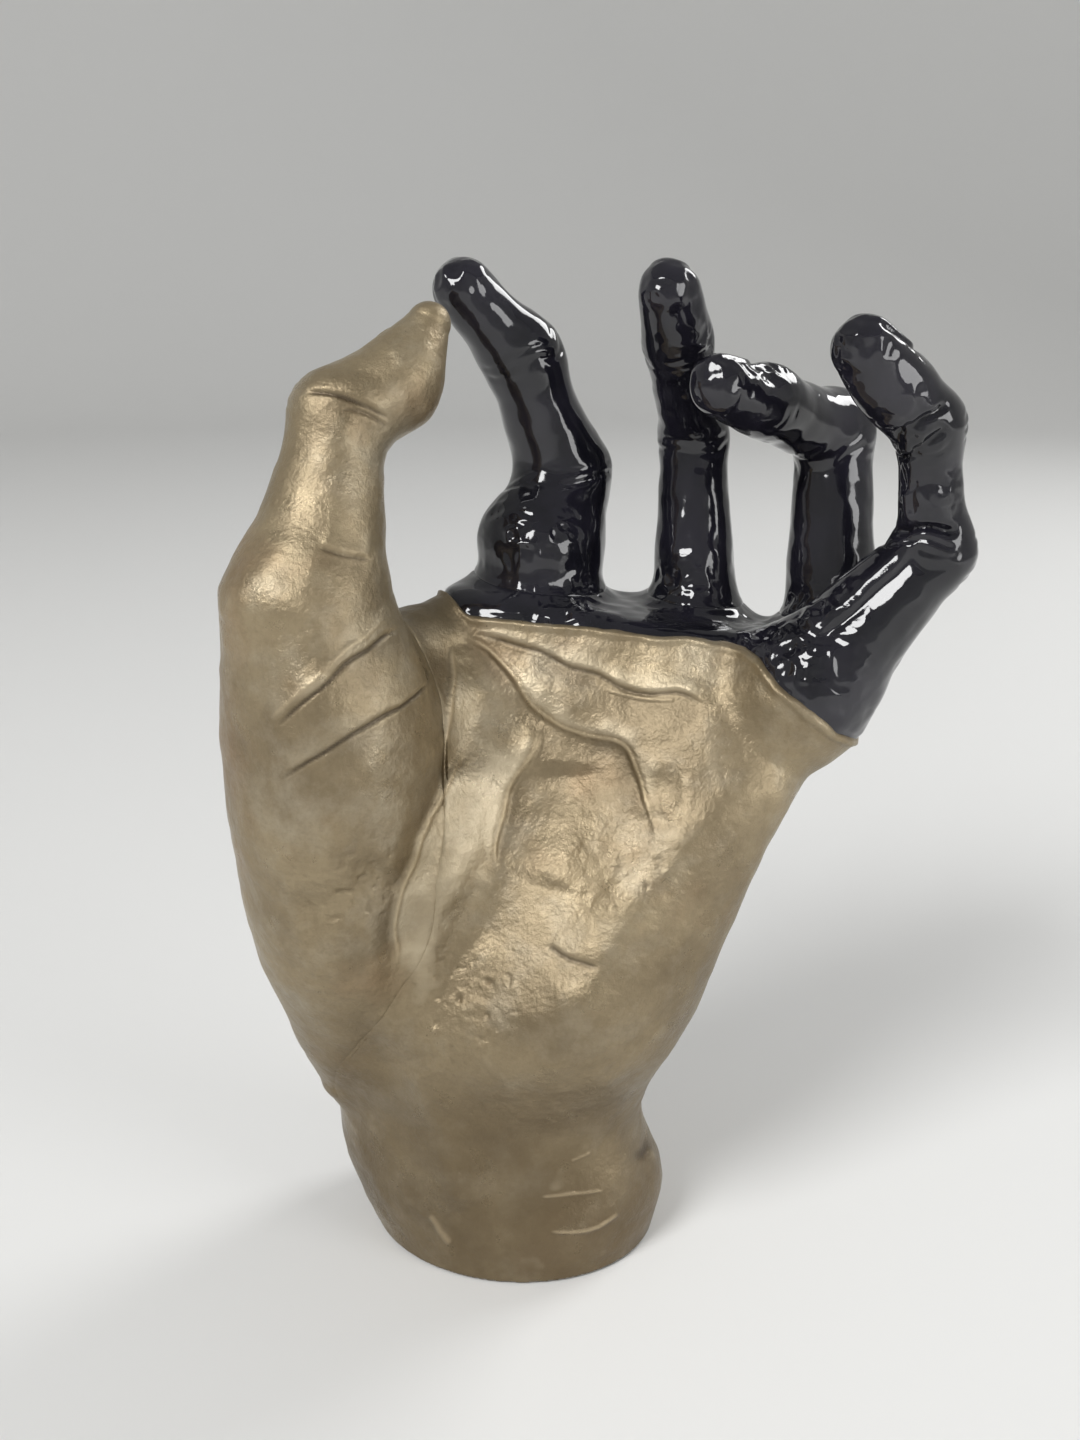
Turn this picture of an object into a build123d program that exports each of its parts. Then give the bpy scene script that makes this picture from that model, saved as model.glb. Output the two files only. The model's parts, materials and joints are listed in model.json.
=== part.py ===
from build123d import *
import os
from dataclasses import dataclass, replace
from math import cos, exp, pi, radians, sin

# A life-size left hand in fired ceramic, standing on its cut wrist with the fingers curled.
# Millimetres and degrees. +Z is up, the palm faces -Y and the thumb is on the -X side.
# The origin is the centre of the felt face that the wrist stands on.

# Wrist
BASE_WIDTH = 64.0
BASE_DEPTH = 55.0
FLOOR_HEIGHT = 12.0
FLARE_WIDTH = 72.0
FLARE_DEPTH = 53.0
WAIST_HEIGHT = 32.0
WAIST_WIDTH = 70.0
WAIST_DEPTH = 45.0

# Palm
HEEL_HEIGHT = 54.0
HEEL_WIDTH = 81.0
PALM_HEIGHT = 80.0
PALM_WIDTH = 82.0
HOLLOW_WIDTH = 83.0
KNUCKLE_HEIGHT = 127.0
KNUCKLE_WIDTH = 88.0
LEDGE_RISE = 11.5
LEDGE_WIDTH = 78.0
THUMB_ROOT_DROP = 16.0      # of the root of the thumb, below the heel
WEB_ROOT_DROP = 4.0         # of the root of the thumb's web, below the heel
KNUCKLE_SWELL = 1.1
JOINT_SWELL = 1.03
CASTING_WALL = 7.0

# Border between the bronze palm and the black knuckles: a plane through one point, falling
# by these slopes towards the little finger and the back of the hand. At the little finger
# the border drops along the foot of that finger.
BORDER_RISE = 11.0
BORDER_POINT = (26.0, -2.0, KNUCKLE_HEIGHT + BORDER_RISE)
BORDER_FALL_SIDE = 0.16
BORDER_FALL_BACK = 0.6

# Steel dowels in drilled sockets
DOWEL_DIAMETER = 5.0
DOWEL_LENGTH = 22.0
DOWEL_CLEARANCE = 0.15
BRIDGE_DOWEL_LENGTH = 14.0
BRIDGE_DOWEL_PLACES = ((20.0, 14.0), (54.0, 14.0))
THUMB_DOWEL_HEADING = 199.0

# Drain hole, its plug and the felt under the base
DRAIN_DIAMETER = 16.0
PLUG_FLANGE_DIAMETER = 22.0
PLUG_FLANGE_THICKNESS = 2.0
PLUG_CLEARANCE = 0.15
FELT_THICKNESS = 1.5
FELT_RECESS = 1.0
FELT_MARGIN = 7.0
FELT_CLEARANCE = 0.2
BASE_LIFT = FELT_THICKNESS - FELT_RECESS


@dataclass
class Level:
    """One level of the wrist and palm, seen from above with the palm at the bottom."""
    centre: tuple
    width: float
    front: float            # from the centre to the palm side
    back: float             # from the centre to the back of the hand
    yaw: float = 14.0       # turn of the level towards the viewer at the little finger
    tilt: float = 0.0       # drop of the level towards the little finger
    cup: float = 0.0        # hollow of the palm across the level
    heel: float = 0.0       # swelling of the palm below the little finger
    roundness: float = 1.0  # below 1 the oval is squarer


@dataclass
class Digit:
    """A finger or thumb: where it starts, how its bones run and how thick it is."""
    root: tuple
    lengths: tuple
    headings: tuple
    elevations: tuple
    girths: tuple           # at the root, then the middle and the end of each bone
    pads: tuple = ()        # soft cushions, each a place from the root and a radius


LEVELS = (
    Level((0, 0, BASE_LIFT), BASE_WIDTH, BASE_DEPTH / 2, BASE_DEPTH / 2),
    Level((-2, 0, FLOOR_HEIGHT), FLARE_WIDTH, FLARE_DEPTH / 2, FLARE_DEPTH / 2),
    Level((-6, -1, WAIST_HEIGHT), WAIST_WIDTH, WAIST_DEPTH / 2, WAIST_DEPTH / 2),
    Level((-2, -3, HEEL_HEIGHT), HEEL_WIDTH, 26, 19, heel=3),
    Level((7, -1, PALM_HEIGHT), PALM_WIDTH, 22, 17, tilt=2, cup=4, heel=5),
    Level((16, 4, KNUCKLE_HEIGHT - 25), HOLLOW_WIDTH, 19.5, 20, 12, 4, cup=6.5, heel=5, roundness=0.9),
    Level((23, 9, KNUCKLE_HEIGHT - 8), KNUCKLE_WIDTH, 18, 20, 9, 5, cup=5, heel=3, roundness=0.8),
    Level((27, 13, KNUCKLE_HEIGHT + 5), KNUCKLE_WIDTH, 16, 18, 7, 6, cup=4, heel=1, roundness=0.8),
    Level((27, 14, KNUCKLE_HEIGHT + LEDGE_RISE), LEDGE_WIDTH, 10, 13, 7, 8, cup=3, roundness=0.8),
)

DIGITS = {
    "index": Digit(
        root=(4.5, 20, KNUCKLE_HEIGHT),
        lengths=(39.5, 27.5, 24.5),
        headings=(60, -156, -155),
        elevations=(71, 69, 47),
        girths=(25, 24, 20.5, 18, 17, 15, 13),
        pads=(((-1, 2, 24), 11),),
    ),
    "middle": Digit(
        root=(40, 22, KNUCKLE_HEIGHT),
        lengths=(46, 25, 19.5),
        headings=(94, -111, -110),
        elevations=(77, 56, 52),
        girths=(20, 17.5, 14.5, 14, 14, 14, 13),
    ),
    "ring": Digit(
        root=(68.5, 15, KNUCKLE_HEIGHT + 1),
        lengths=(47.5, 25.5, 19.5),
        headings=(92, -135, -140),
        elevations=(78, 18, 15),
        girths=(20, 18.5, 16.5, 15, 14.5, 14, 12.5),
    ),
    "little": Digit(
        root=(60, -2, KNUCKLE_HEIGHT - 2),
        lengths=(38, 25.5, 28),
        headings=(-5, -135, -155),
        elevations=(51, 77, 42),
        girths=(26, 20.5, 15.5, 13, 14, 15, 13),
    ),
    "thumb": Digit(
        root=(-37, -5, HEEL_HEIGHT - THUMB_ROOT_DROP),
        lengths=(65.5, 44.2, 35.7, 12.6, 18.1),
        headings=(-77, -138, 55, 26, 36),
        elevations=(83.5, 84, 72, 24, 55),
        girths=(8, 35, 42, 41, 32, 23.5, 18.5, 17.5, 16.5, 12.5, 7),
    ),
}

# The slope from the ball of the thumb down to the palm, and the web above it
THUMB_WEB = Digit(
    root=(-26, -2, HEEL_HEIGHT - WEB_ROOT_DROP),
    lengths=(40.8, 52),
    headings=(-20, 100),
    elevations=(79, 77),
    girths=(28, 29, 29, 26, 16),
)
BRIDGE_FINGERS = ("index", "middle", "ring")


def bone_direction(heading, elevation):
    flat = cos(radians(elevation))
    return Vector(flat * cos(radians(heading)), flat * sin(radians(heading)), sin(radians(elevation)))


def digit_bones(digit):
    return [bone_direction(h, e) for h, e in zip(digit.headings, digit.elevations)]


def level_outline(level, inset=0.0):
    """Closed outline of a level: an oval that is cupped across and swells at the heel."""
    yaw = radians(level.yaw)
    tilt = radians(level.tilt)
    across = Vector(cos(yaw) * cos(tilt), -sin(yaw) * cos(tilt), -sin(tilt))
    back = Vector(sin(yaw), cos(yaw), 0)
    points = []
    for step in range(16):
        turn = 2 * pi * step / 16
        side = abs(cos(turn)) ** level.roundness * (1 if cos(turn) > 0 else -1)
        depth = abs(sin(turn)) ** level.roundness
        swelling = level.heel * exp(-((side - 0.55) / 0.4) ** 2)
        cupped = level.cup * (0.5 - side ** 2)
        if sin(turn) > 0:
            edge = depth * (level.back - inset) + cupped
        else:
            edge = -depth * (level.front + swelling - inset) + cupped
        points.append((side * (level.width / 2 - inset), edge))
    plane = Plane(level.centre, x_dir=across, z_dir=across.cross(back))
    return plane * make_face(Spline(*points, periodic=True))


def digit_solid(digit):
    """A tapered loft for each bone, with a round knuckle at each bend and a round tip."""
    bones = digit_bones(digit)
    lengths = list(digit.lengths)
    lengths[-1] = lengths[-1] - digit.girths[-1] / 2
    start = Vector(*digit.root)
    solid = Part()
    for number, bone in enumerate(bones):
        first, middle, last = digit.girths[2 * number:2 * number + 3]
        end = start + bone * lengths[number]
        rings = [
            Plane(start, z_dir=bone) * Circle(first / 2),
            Plane((start + end) * 0.5, z_dir=bone) * Circle(middle / 2),
            Plane(end, z_dir=bone) * Circle(last / 2),
        ]
        solid = solid + loft(rings) + Pos(end) * Sphere(last / 2 * JOINT_SWELL)
        start = end
    pads = [Pos(Vector(*digit.root) + Vector(*place)) * Sphere(radius) for place, radius in digit.pads]
    return solid + pads


def foot_plane(digit):
    """The plane that a finger stands on, square to its first bone."""
    return Plane(digit.root, z_dir=digit_bones(digit)[0])


def border_plane():
    return Plane(BORDER_POINT, z_dir=(BORDER_FALL_SIDE, BORDER_FALL_BACK, 1))


def on_border(x, y):
    point_x, point_y, point_z = BORDER_POINT
    return Vector(x, y, point_z - BORDER_FALL_SIDE * (x - point_x) - BORDER_FALL_BACK * (y - point_y))


def hand_mass():
    """Wrist and palm as one loft, with the thumb's web, the knuckles and the little finger's foot."""
    knuckles = []
    for name in BRIDGE_FINGERS:
        digit = DIGITS[name]
        knuckles.append(Pos(*digit.root) * Sphere(digit.girths[0] / 2 * KNUCKLE_SWELL))
    little = DIGITS["little"]
    under = (Align.CENTER, Align.CENTER, Align.MAX)
    foot = foot_plane(little) * Sphere(little.girths[0] / 2, arc_size2=0, align=under)
    return loft([level_outline(level) for level in LEVELS]) + digit_solid(THUMB_WEB) + knuckles + foot


def casting_cavity():
    return loft([level_outline(level, CASTING_WALL) for level in LEVELS[1:5]])


def largest(shape):
    return max(shape.solids(), key=lambda solid: solid.volume)


def dowel(plane, length, clearance=0.0):
    return plane * Cylinder(DOWEL_DIAMETER / 2 + clearance, length + 2 * clearance)


def dowel_planes():
    """Where each dowel crosses its joint, as {node: [planes across the dowel]}."""
    planes = {}
    for name in BRIDGE_FINGERS:
        digit = DIGITS[name]
        foot = foot_plane(digit)
        planes[f"{name}_dowel"] = [foot.offset(digit.girths[0] / 2 * KNUCKLE_SWELL)]
    planes["little_dowel"] = [foot_plane(DIGITS["little"])]
    web_joint = Vector(*THUMB_WEB.root) + digit_bones(THUMB_WEB)[0] * THUMB_WEB.lengths[0]
    outward = bone_direction(THUMB_DOWEL_HEADING, 0)
    planes["thumb_dowel"] = [Plane(web_joint + outward * (THUMB_WEB.girths[2] / 2), z_dir=outward)]
    slope = border_plane().z_dir
    planes["bridge_dowels"] = [Plane(on_border(x, y), z_dir=slope) for x, y in BRIDGE_DOWEL_PLACES]
    return planes


def pin_together(pieces):
    """Drill the dowel sockets through the pieces that meet there, and add the dowels."""
    joined = {
        "index_dowel": ("index_finger", "knuckle_bridge"),
        "middle_dowel": ("middle_finger", "knuckle_bridge"),
        "ring_dowel": ("ring_finger", "knuckle_bridge"),
        "little_dowel": ("little_finger", "palm_body"),
        "thumb_dowel": ("thumb", "palm_body"),
        "bridge_dowels": ("knuckle_bridge", "palm_body"),
    }
    sockets = {name: [] for pair in joined.values() for name in pair}
    for node, planes in dowel_planes().items():
        length = BRIDGE_DOWEL_LENGTH if node == "bridge_dowels" else DOWEL_LENGTH
        for name in joined[node]:
            sockets[name] += [dowel(plane, length, DOWEL_CLEARANCE) for plane in planes]
        pieces[node] = Compound(children=[dowel(plane, length) for plane in planes])
    for name, holes in sockets.items():
        pieces[name] = pieces[name] - holes


def add_base(pieces):
    """Felt recess and drain hole in the wrist, with the felt and the rubber plug in them."""
    ceiling = BASE_LIFT + FELT_RECESS
    recess = extrude(level_outline(LEVELS[0], FELT_MARGIN - FELT_CLEARANCE), FELT_RECESS)
    drain = Pos(0, 0, ceiling) * extrude(Circle(DRAIN_DIAMETER / 2), FLOOR_HEIGHT)
    flange_seat = Circle(PLUG_FLANGE_DIAMETER / 2 + PLUG_CLEARANCE)
    counterbore = Pos(0, 0, ceiling) * extrude(flange_seat, PLUG_FLANGE_THICKNESS)
    pieces["palm_body"] = pieces["palm_body"] - [recess, drain, counterbore]

    flange = extrude(Circle(PLUG_FLANGE_DIAMETER / 2), PLUG_FLANGE_THICKNESS)
    stem = extrude(Circle(DRAIN_DIAMETER / 2 - PLUG_CLEARANCE), FLOOR_HEIGHT - ceiling)
    pieces["drain_plug"] = Pos(0, 0, ceiling) * (flange + stem)
    felt_level = replace(LEVELS[0], centre=(0, 0, 0))
    pieces["base_felt"] = extrude(level_outline(felt_level, FELT_MARGIN), FELT_THICKNESS)


def build():
    mass = hand_mass()
    digits = {name: digit_solid(digit) for name, digit in DIGITS.items()}
    below_border = split(mass, bisect_by=border_plane(), keep=Keep.BOTTOM)
    palm = split(below_border, bisect_by=foot_plane(DIGITS["little"]), keep=Keep.BOTTOM)
    pieces = {
        "palm_body": palm - casting_cavity(),
        "knuckle_bridge": largest(mass - [palm, digits["little"]]),
        "thumb": largest(digits["thumb"] - mass),
        "little_finger": digits["little"],
    }
    for name in BRIDGE_FINGERS:
        pieces[f"{name}_finger"] = largest(digits[name] - [mass, digits["little"]])
    pin_together(pieces)
    add_base(pieces)
    return pieces


os.makedirs("parts", exist_ok=True)
for node, shape in build().items():
    export_step(shape, f"parts/{node}.step")
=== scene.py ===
import json
from math import cos, pi, radians, sin

import bpy
import numpy as np
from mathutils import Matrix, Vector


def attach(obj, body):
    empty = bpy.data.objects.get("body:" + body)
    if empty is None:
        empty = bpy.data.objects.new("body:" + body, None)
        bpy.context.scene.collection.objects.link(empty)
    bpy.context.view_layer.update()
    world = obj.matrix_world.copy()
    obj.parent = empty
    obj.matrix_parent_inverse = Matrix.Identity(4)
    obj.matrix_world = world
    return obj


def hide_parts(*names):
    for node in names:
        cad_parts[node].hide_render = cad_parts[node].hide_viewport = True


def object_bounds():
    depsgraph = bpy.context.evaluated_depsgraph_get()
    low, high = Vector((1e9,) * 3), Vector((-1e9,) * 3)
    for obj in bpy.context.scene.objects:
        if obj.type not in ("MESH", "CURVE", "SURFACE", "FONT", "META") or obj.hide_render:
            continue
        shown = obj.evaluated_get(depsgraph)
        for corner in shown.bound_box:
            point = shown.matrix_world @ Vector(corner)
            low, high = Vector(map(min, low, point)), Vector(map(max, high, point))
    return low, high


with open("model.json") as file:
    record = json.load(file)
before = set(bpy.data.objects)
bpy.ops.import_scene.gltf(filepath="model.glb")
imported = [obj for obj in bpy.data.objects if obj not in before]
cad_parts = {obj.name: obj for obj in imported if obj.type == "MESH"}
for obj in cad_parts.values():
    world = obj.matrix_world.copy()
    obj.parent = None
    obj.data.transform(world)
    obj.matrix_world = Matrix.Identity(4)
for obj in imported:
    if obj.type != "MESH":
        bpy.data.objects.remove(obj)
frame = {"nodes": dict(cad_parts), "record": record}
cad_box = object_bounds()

import openvdb
from mathutils import Vector

# A ceramic left hand that stands on its wrist. The skin is worked out as a distance field from
# the bones and the levels of the palm, cut into the pieces of the frame and meshed. Then folds,
# cushions, nails, tendons and pits are raised on it or pressed into it. Shapes are in millimetres,
# in the frame's own axes: +Z up, the palm faces -Y and the thumb is on the -X side.

MM = 0.001

# Meshing
VOXEL = 0.4
BLOCK = 4               # voxels along one side of a block
BLOCK_REACH = 1.4       # blocks this near to a surface, in block sides, are worked out by voxel
SURFACE_MARGIN = 0.5    # plus this many mm
GRID_MARGIN = 8         # of the grid round the box of the solids
PIECE_MARGIN = 3        # voxels round one piece
CHUNK = 400_000         # points worked out at once
FAR = 3.0               # distances are cut off here
CLEAR = 20.0            # beyond this a digit has no influence on a point
NORMAL_STEP = 0.4       # between the points that give the direction of the skin
SHARP_ANGLE = radians(70)
SEAM_LAP = 0.3          # each piece reaches this far past its seams
SEAM_ROUNDING = 0.8     # of a piece's edge along its seams
SEAM_PUSH = 2           # how steeply a piece gives way past the border or the little finger's foot
SKIN_DEPTH = 0.8        # vertices deeper than this lie on a seam, not on the skin
BASE_FADE = (0.8, 3)    # heights between which the relief sets in above the flat base
NOISE_TABLE = 4096
NOISE_HASH = np.array((73856093, 19349663, 83492791))

# The photograph: the camera that took it, and its frame in pixels
CAMERA_PLACE = np.array((6.0, -295.8, 214.2))
CAMERA_PITCH = radians(18)
LENS_MM = 37.5
SENSOR_MM = 36.0
PHOTO_WIDTH = 1080
PHOTO_HEIGHT = 1440
FOCAL_PIXELS = LENS_MM / SENSOR_MM * PHOTO_HEIGHT
FACING = (0.05, 0.4)    # cosines to the camera at which folds set in and show in full

# The stage, in metres and watts: a round paper sweep, and lamps that point at the hand
SWEEP_START = 1.5
SWEEP_RADIUS = 0.7
SWEEP_HEIGHT = 1.8
SWEEP_SIDES = 96
SWEEP_STEPS = 16
PAPER_COLOUR = (0.78, 0.78, 0.77, 1)
WORLD_COLOUR = (0.8, 0.8, 0.79, 1)
WORLD_STRENGTH = 0.33
LAMP_AIM = Vector((0.02, 0, 0.13))
LAMPS = {
    # name: place, size, power
    "key": ((-0.75, -0.95, 1.2), 0.7, 19),
    "rim": ((0.9, 0.7, 0.9), 0.6, 7),
    "side": ((0.8, -0.5, 0.34), 0.5, 3),
}

# The hand
KNUCKLE_HEIGHT = 127.0
KNUCKLE_SWELL = 1.05    # of a knuckle's radius, against the root of its finger
HEEL_HEIGHT = 54.0
HEEL_PLACE = 0.55       # middle of the heel's swelling, as a share of the palm's half width
HEEL_SPREAD = 0.4
THUMB_ROOT_DROP = 16.0  # of the root of the thumb, below the heel
WEB_ROOT_DROP = 4.0     # of the root of the thumb's web, below the heel
BASE_LIFT = 0.5
LEDGE_TOP = 138.5
LEDGE_ROUNDING = 6.0
BALL_CENTRE = np.array((21.0, -40.0, 165.0))    # what the fingers curl round
WEB_REACH = 6.0         # blend between a finger and the palm
THUMB_REACH = 9.0       # blend between the thumb, its web and the palm
JOINT_REACH = 4.0       # blend between the bones of one digit
PAD_SWELL = 0.1         # swelling of the soft side of a bone, as a share of its radius

# The border between bronze and black
BORDER_POINT = np.array((26.0, -2.0, 138.0))
BORDER_SLOPE = np.array((0.16, 0.6, 1.0))
BORDER_CORNER = 5.0     # rounding where the border turns down along the little finger
BORDER_BEND = 8.0       # rise of the border over the web of the thumb
BORDER_BEND_SPAN = (8, 17)      # from and to, towards the thumb
LIP_HEIGHT = 0.6        # bronze bead along the border
LIP_OFFSET = 0.9
LIP_WIDTH = 0.8
DIP_DEPTH = 0.3         # dip of the black glaze beside the bead
DIP_OFFSET = 0.6
DIP_WIDTH = 0.9

LEVEL_COLUMNS = ("x", "y", "z", "width", "front", "back", "yaw", "tilt", "cup", "heel", "roundness")
LEVELS = np.array((
    (0, 0, BASE_LIFT, 64, 27.5, 27.5, 14, 0, 0, 0, 1),
    (-2, 0, 12, 72, 26.5, 26.5, 14, 0, 0, 0, 1),
    (-6, -1, 32, 70, 22.5, 22.5, 14, 0, 0, 0, 1),
    (-2, -3, HEEL_HEIGHT, 81, 26, 19, 14, 0, 0, 3, 1),
    (7, -1, 80, 82, 22, 17, 14, 2, 4, 5, 1),
    (16, 4, 102, 83, 19.5, 20, 12, 4, 6.5, 5, 0.9),
    (23, 9, 119, 88, 18, 20, 9, 5, 5, 3, 0.8),
    (27, 13, 132, 88, 16, 18, 7, 6, 4, 1, 0.8),
    (27, 14, 142, 84, 14, 16, 7, 8, 3, 0, 0.8),
), np.float32)

# Folds placed by photograph pixels: (points), width, height and step in mm. With a step, the side
# to the left of a line that runs down, or below a line that runs right, lies that much lower.
PALM_FOLDS = {
    "thumb_upper": (((274, 730), (345, 668), (402, 626)), 0.45, -0.6, 0.3),
    "thumb_upper_edge": (((268, 724), (333, 663), (392, 614)), 0.5, 0.25, 0),
    "thumb_lower": (((267, 787), (340, 742), (419, 695), (428, 676), (416, 658)), 0.45, -0.6, 0.3),
    "web": (((455, 644), (454, 700), (451, 750)), 0.5, 0.35, 0.45),
    "life_line": (((469, 745), (440, 812), (410, 878), (398, 930), (400, 975)), 0.45, 0.3, 0.5),
    "palm_line": (((540, 725), (528, 758), (511, 782), (500, 825), (492, 874)), 0.45, 0.3, -0.5),
    "head_line": (
        ((451, 626), (490, 652), (511, 672), (538, 713), (580, 732), (624, 745), (642, 790), (664, 858)),
        0.5, 0.3, 0.55,
    ),
    "heart_line": (
        ((465, 630), (520, 645), (575, 667), (634, 692), (676, 695), (713, 713)),
        0.5, -0.45, 0.5,
    ),
    "heart_line_edge": (((600, 688), (640, 698), (680, 702)), 0.4, 0.25, 0),
    "heel_dimple": (((548, 942), (572, 958), (600, 968)), 0.6, -0.45, 0.15),
    "thumb_knuckle": (((316, 547), (343, 553), (370, 558)), 0.45, -0.4, 0.3),
    "thumb_tip": (((302, 390), (330, 394), (360, 404), (390, 424)), 0.45, -0.5, 0.2),
    "thumb_tip_low": (((340, 408), (364, 414), (386, 432)), 0.4, -0.3, 0),
    "wrist_upper": (((570, 1160), (580, 1154), (591, 1149)), 0.4, 0.25, 0),
    "wrist_middle": (((538, 1197), (570, 1194), (607, 1191)), 0.4, 0.3, 0.2),
    "wrist_lower": (((547, 1232), (590, 1228), (621, 1214)), 0.45, 0.35, 0.2),
    "wrist_side": (((648, 1085), (656, 1108), (654, 1135), (632, 1168)), 1.3, -0.5, 0.3),
    "wrist_ridge": (((428, 1214), (440, 1230), (455, 1246)), 0.9, 0.25, 0),
}

# Broad ridges and valleys between the cushions of the palm, placed in the same way
PALM_VALLEYS = {
    "beside_thumb": (((470, 690), (455, 770), (425, 860), (400, 950), (405, 1040)), 4.0, -1.4, 0),
    "hollow": (((560, 760), (560, 820), (540, 890)), 7.0, -1.4, 0),
    "heel_edge": (((330, 1040), (420, 1085), (520, 1095), (610, 1075)), 6.0, -1.5, 0),
    "wrist_tendon": (((414, 1060), (440, 1130), (468, 1215)), 4.5, 1.8, 0),
    "under_fingers": (((500, 690), (580, 745), (640, 790), (690, 800)), 5.0, -1.0, 0),
    "thumb_side": (((330, 600), (318, 680), (300, 760)), 5.0, 0.8, 0),
    "heel_crest": (((800, 775), (736, 811), (670, 869), (604, 959), (556, 1045)), 6.0, 1.4, 0),
    "thumb_ball_foot": (((295, 925), (345, 905), (392, 862)), 4.5, -1.8, 0),
}

# The raised strip beside the ball of the thumb, placed in the same way. Part of its height also lightens its
# colour as painted light.
PALM_STRIPS = {"strip": (((515, 720), (488, 790), (461, 858), (435, 930), (412, 1020)), 4.0, 1.1, 0)}
STRIP_PAINTED_LIGHT = 0.4        # share of the strip's height that also lightens its colour

# Folds of the little finger, placed in the same way
LITTLE_FOLDS = {
    "long_ridge": (((806, 640), (850, 604), (885, 576), (925, 538)), 0.9, 0.6, 0.9),
    "middle_joint": (((893, 534), (925, 527), (962, 532)), 0.9, -1.5, 0),
    "middle_joint_low": (((900, 545), (930, 540), (958, 548)), 0.6, -0.6, 0),
    "end_joint": (((893, 436), (920, 424), (950, 402)), 0.8, -1.1, 0),
    "end_joint_low": (((896, 462), (925, 446), (950, 428)), 0.8, -0.8, 0),
    "middle_bone": (((900, 492), (925, 484), (950, 486)), 1.0, -0.6, 0),
    "end_side": (((905, 440), (912, 470), (906, 500), (912, 522)), 0.7, 0.6, 0),
}

# How these folds run
FOLD_MARGIN = 14        # pixels that a fold reaches, for each mm of its width
FOLD_WANDER = 3         # pixels that a fold strays
FOLD_WANDER_SIZE = 6    # mm from one stray to the next
FOLD_WANDER_SEEDS = (21, 22)
FOLD_TAPER = 0.15       # share of a fold over which each end runs out
STEP_EDGE = 0.8         # mm beside a fold over which its step rises
STEP_REACH = 4.5        # mm over which its step dies away again

# Soft swellings on the palm side: photograph pixel, radius and height in mm
SWELLINGS = (
    ((300, 690), 14, 0.8),
    ((560, 1010), 18, 1.2),
    ((625, 894), 4, 0.6),
    ((700, 690), 12, 1.4),
    ((560, 690), 7, 0.8),
    ((230, 605), 8, 0.8),
    ((320, 830), 12, 0.9),
)

# Pitted patches on the palm side: photograph pixel and radius in mm
ROUGH_PATCHES = (((352, 892), 9), ((470, 1005), 11), ((640, 890), 7))
PIT_DEPTH = 0.4
PIT_SIZE = 1.5
PIT_SEED = 31
PIT_NOISE = (0.35, 0.8)     # values of the noise at the rim and at the bottom of a pit

# Patches where the black glaze is crumpled, given in the same way: fingertips, bases and folds
CRUMPLED_PATCHES = (
    ((450, 280), 6), ((672, 290), 5), ((715, 355), 6), ((760, 360), 6), ((856, 338), 7),
    ((525, 535), 8), ((565, 615), 7), ((680, 575), 6), ((800, 645), 11), ((905, 430), 6), ((915, 500), 6),
)
CRUMPLE_HEIGHT = 0.9
CRUMPLES = ((0.4, 1.2, 3.6, 51), (0.2, 0.7, 2.2, 52))   # crest, fall, size in mm and seed

# Layers of unevenness: height and size in mm, and seed
SKIN_WAVES = ((0.25, 12, 61),)
BRONZE_GRAIN = ((0.22, 5, 62), (0.09, 2.2, 65))
ROUGH_GRAIN = ((0.1, 1.3, 32), (0.14, 4, 33))
GLAZE_RIPPLES = ((0.3, 7, 63), (0.12, 3, 64))
BORDER_WANDER = ((0.5, 6, 11), (0.25, 2.4, 12))

# Tendons on the back of the hand: x and z at the wrist and halfway, shifted for each finger
TENDON_WRIST = np.array((-8, 30))
TENDON_HALFWAY = np.array((4, 75))
TENDON_SHIFTS = (-8, -2, 4, 9)
TENDON_END_DROP = 2     # of its end, below the middle of the knuckle
TENDON_HEIGHT = 2.4
TENDON_WIDTH = 2.8

# Skin of the joints: places along the digit from the joint, in mm
SOFT_FOLDS = ((-1.2, 0.4), (1.6, 0.25))     # place and depth
SOFT_FOLD_WIDTH = 0.8
BACK_WRINKLES = (-4, -1.8, 0.3, 2.2, 4.4)
BACK_WRINKLE_DEPTH = 0.3
BACK_WRINKLE_WIDTH = 0.55
WRINKLE_STRAY = 1.6
WRINKLE_SIZE = 5        # mm from one stray, or one gap in a wrinkle, to the next
WRINKLE_SEED = 41
WRINKLE_GAP_SEED = 45
THUMB_WRINKLES = 0.4    # depth of the thumb's, as a share of the fingers'

# Nails: the first three as shares of the digit's radius
NAIL_HALF_WIDTH = 0.72
NAIL_HALF_LENGTH = 1.15
NAIL_SHIFT = 0.2        # towards the root of the digit
NAIL_HEIGHT = 0.35
NAIL_GROOVE_DEPTH = 0.55
NAIL_GROOVE_WIDTH = 0.45


def unit(vector):
    """The same direction with length 1."""
    return np.asarray(vector, float) / np.linalg.norm(vector)


def bone_direction(heading, elevation):
    """Direction of a bone: heading from +X towards +Y, and elevation above the floor, in degrees."""
    flat = cos(radians(elevation))
    return np.array((flat * cos(radians(heading)), flat * sin(radians(heading)), sin(radians(elevation))))


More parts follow.
